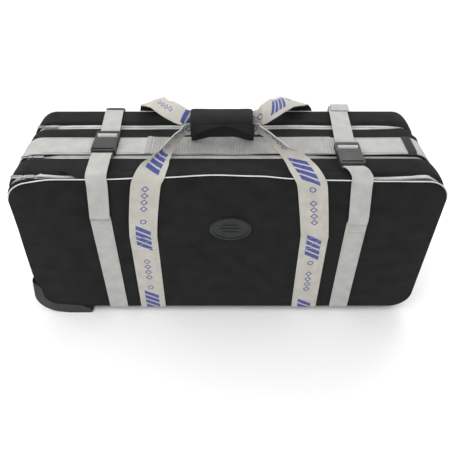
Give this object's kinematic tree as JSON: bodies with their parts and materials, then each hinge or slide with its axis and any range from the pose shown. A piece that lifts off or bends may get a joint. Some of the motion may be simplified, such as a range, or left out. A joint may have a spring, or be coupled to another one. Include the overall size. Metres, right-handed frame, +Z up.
{
  "type": "wheeled travel case",
  "caption": "Soft rectangular travel case with corner wheels, zipped compartments, two webbing handle loops in a wrap-round grip, and buckled compression straps.",
  "frame": {"origin": "on the floor, below the middle of the case", "axes": "+X along the length, away from the wheels; +Y from the front panel to the back panel; +Z up"},
  "size_m": [0.8872, 0.2779, 0.465],
  "materials": {
    "black_fabric": "woven polyester",
    "grip_fabric": "woven polyester",
    "lining": "plain lining",
    "grey_webbing": "ribbed webbing",
    "patterned_webbing": "satin webbing with a plain blue pattern",
    "black_webbing": "ribbed webbing",
    "piping": "smooth piping",
    "zip_tape": "zip tape",
    "zip_metal": "satin",
    "dark_plastic": "fine moulded grain",
    "buckle_plastic": "satin moulded",
    "board": "matt",
    "badge_rubber": "satin",
    "tyre_rubber": "matt",
    "steel": "satin"
  },
  "bodies": {
    "case": {"wheel_housing_front": "dark_plastic", "wheel_housing_back": "dark_plastic", "wheel_axles": "steel", "skid_feet": "dark_plastic", "base_screws": "steel", "base_tub": "black_fabric", "base_board": "board", "piping_lower": "piping", "base_straps": "grey_webbing", "centre_gusset": "black_fabric", "zip_main_tape_case": "zip_tape", "zip_back_tape_case": "zip_tape", "back_divider": "lining", "wide_webbing": "grey_webbing", "centre_webbing_overlay": "grey_webbing", "webbing_keeper": "black_webbing", "end_handle": "black_webbing"},
    "front_lid": {"front_gusset": "black_fabric", "front_divider": "lining", "zip_main_tape_lid": "zip_tape", "zip_front_tape_lid": "zip_tape", "zip_front_flap": "black_fabric"},
    "front_cover": {"front_panel": "black_fabric", "front_piping": "piping", "front_panel_board": "board", "zip_front_tape_cover": "zip_tape", "front_plain_straps": "grey_webbing", "front_handle_straps": "patterned_webbing", "badge": "badge_rubber"},
    "back_cover": {"back_gusset": "black_fabric", "back_panel": "black_fabric", "back_piping": "piping", "zip_back_tape_cover": "zip_tape", "back_panel_straps": "grey_webbing"},
    "front_handle": {"front_handle_loop": "patterned_webbing"},
    "back_handle": {"back_handle_loop": "patterned_webbing", "grip_pad": "grip_fabric"},
    "grip_flap": {"grip_flap": "grip_fabric"},
    "wheel_front": {"wheel_tyre_front": "tyre_rubber", "wheel_hub_front": "dark_plastic"},
    "wheel_back": {"wheel_tyre_back": "tyre_rubber", "wheel_hub_back": "dark_plastic"},
    "front_strap_left": {"front_strap_left": "grey_webbing", "buckle_female_left": "buckle_plastic"},
    "back_strap_left": {"back_strap_left": "grey_webbing", "buckle_male_left": "buckle_plastic"},
    "buckle_arm_left_a": {"buckle_arm_left_a": "buckle_plastic"},
    "buckle_arm_left_b": {"buckle_arm_left_b": "buckle_plastic"},
    "front_strap_right": {"front_strap_right": "grey_webbing", "buckle_female_right": "buckle_plastic"},
    "back_strap_right": {"back_strap_right": "grey_webbing", "buckle_male_right": "buckle_plastic"},
    "buckle_arm_right_a": {"buckle_arm_right_a": "buckle_plastic"},
    "buckle_arm_right_b": {"buckle_arm_right_b": "buckle_plastic"},
    "slider_front": {"zip_slider_front": "zip_metal"},
    "pull_front": {"zip_pull_front": "zip_metal"},
    "slider_main": {"zip_slider_main": "zip_metal"},
    "pull_main": {"zip_pull_main": "zip_metal"},
    "slider_back": {"zip_slider_back": "zip_metal"},
    "pull_back": {"zip_pull_back": "zip_metal"}
  },
  "joints": [
    {"name": "front_lid_hinge", "type": "hinge", "parent": "case", "child": "front_lid", "pos_m": [0, -0.1325, 0.12], "axis": [1, 0, 0], "range_deg": [0, 95]},
    {"name": "front_cover_hinge", "type": "hinge", "parent": "front_lid", "child": "front_cover", "pos_m": [0, -0.1325, 0.12], "axis": [-1, 0, 0], "range_deg": [-95, 0]},
    {"name": "back_cover_hinge", "type": "hinge", "parent": "case", "child": "back_cover", "pos_m": [0, 0.1325, 0.12], "axis": [-1, 0, 0], "range_deg": [0, 95]},
    {"name": "front_handle_swing", "type": "hinge", "parent": "front_cover", "child": "front_handle", "pos_m": [0, -0.13635, 0.245], "axis": [1, 0, 0], "range_deg": [0, 130]},
    {"name": "back_handle_swing", "type": "hinge", "parent": "back_cover", "child": "back_handle", "pos_m": [0, 0.13635, 0.245], "axis": [-1, 0, 0], "range_deg": [0, 130]},
    {"name": "grip_flap_hinge", "type": "hinge", "parent": "back_handle", "child": "grip_flap", "pos_m": [0, -0.024, 0.446], "axis": [-1, 0, 0], "range_deg": [0, 160]},
    {"name": "wheel_front_spin", "type": "hinge", "parent": "case", "child": "wheel_front", "pos_m": [-0.4, -0.105, 0.034], "axis": [0, 1, 0], "continuous": true},
    {"name": "wheel_back_spin", "type": "hinge", "parent": "case", "child": "wheel_back", "pos_m": [-0.4, 0.105, 0.034], "axis": [0, 1, 0], "continuous": true},
    {"name": "front_strap_left_swing", "type": "hinge", "parent": "front_cover", "child": "front_strap_left", "pos_m": [-0.251, -0.13635, 0.294], "axis": [1, 0, 0], "range_deg": [0, 150]},
    {"name": "back_strap_left_swing", "type": "hinge", "parent": "back_cover", "child": "back_strap_left", "pos_m": [-0.251, 0.13635, 0.294], "axis": [-1, 0, 0], "range_deg": [0, 150]},
    {"name": "buckle_arm_left_a_squeeze", "type": "slide", "parent": "back_strap_left", "child": "buckle_arm_left_a", "axis": [1, 0, 0], "range_m": [0, 0.0032], "stiffness_N_per_m": 800},
    {"name": "buckle_arm_left_b_squeeze", "type": "slide", "parent": "back_strap_left", "child": "buckle_arm_left_b", "axis": [-1, 0, 0], "range_m": [0, 0.0032], "stiffness_N_per_m": 800},
    {"name": "front_strap_right_swing", "type": "hinge", "parent": "front_cover", "child": "front_strap_right", "pos_m": [0.265, -0.13635, 0.281], "axis": [1, 0, 0], "range_deg": [0, 150]},
    {"name": "back_strap_right_swing", "type": "hinge", "parent": "back_cover", "child": "back_strap_right", "pos_m": [0.265, 0.13635, 0.281], "axis": [-1, 0, 0], "range_deg": [0, 150]},
    {"name": "buckle_arm_right_a_squeeze", "type": "slide", "parent": "back_strap_right", "child": "buckle_arm_right_a", "axis": [1, 0, 0], "range_m": [0, 0.0032], "stiffness_N_per_m": 800},
    {"name": "buckle_arm_right_b_squeeze", "type": "slide", "parent": "back_strap_right", "child": "buckle_arm_right_b", "axis": [-1, 0, 0], "range_m": [0, 0.0032], "stiffness_N_per_m": 800},
    {"name": "slider_front_travel", "type": "slide", "parent": "front_lid", "child": "slider_front", "axis": [1, 0, 0], "range_m": [0, 0.7]},
    {"name": "pull_front_flip", "type": "hinge", "parent": "slider_front", "child": "pull_front", "pos_m": [-0.3822, -0.12, 0.38725], "axis": [0, 1, 0], "range_deg": [0, 120]},
    {"name": "slider_main_travel", "type": "slide", "parent": "case", "child": "slider_main", "axis": [1, 0, 0], "range_m": [0, 0.7]},
    {"name": "pull_main_flip", "type": "hinge", "parent": "slider_main", "child": "pull_main", "pos_m": [-0.3822, -0.053, 0.38725], "axis": [0, 1, 0], "range_deg": [0, 120]},
    {"name": "slider_back_travel", "type": "slide", "parent": "case", "child": "slider_back", "axis": [1, 0, 0], "range_m": [0, 0.7]},
    {"name": "pull_back_flip", "type": "hinge", "parent": "slider_back", "child": "pull_back", "pos_m": [-0.3822, 0.0645, 0.38725], "axis": [0, 1, 0], "range_deg": [0, 120]}
  ],
  "couplings": [
    {"joint": "buckle_arm_left_b_squeeze", "follows": "buckle_arm_left_a_squeeze", "ratio": 1},
    {"joint": "buckle_arm_right_b_squeeze", "follows": "buckle_arm_right_a_squeeze", "ratio": 1}
  ]
}
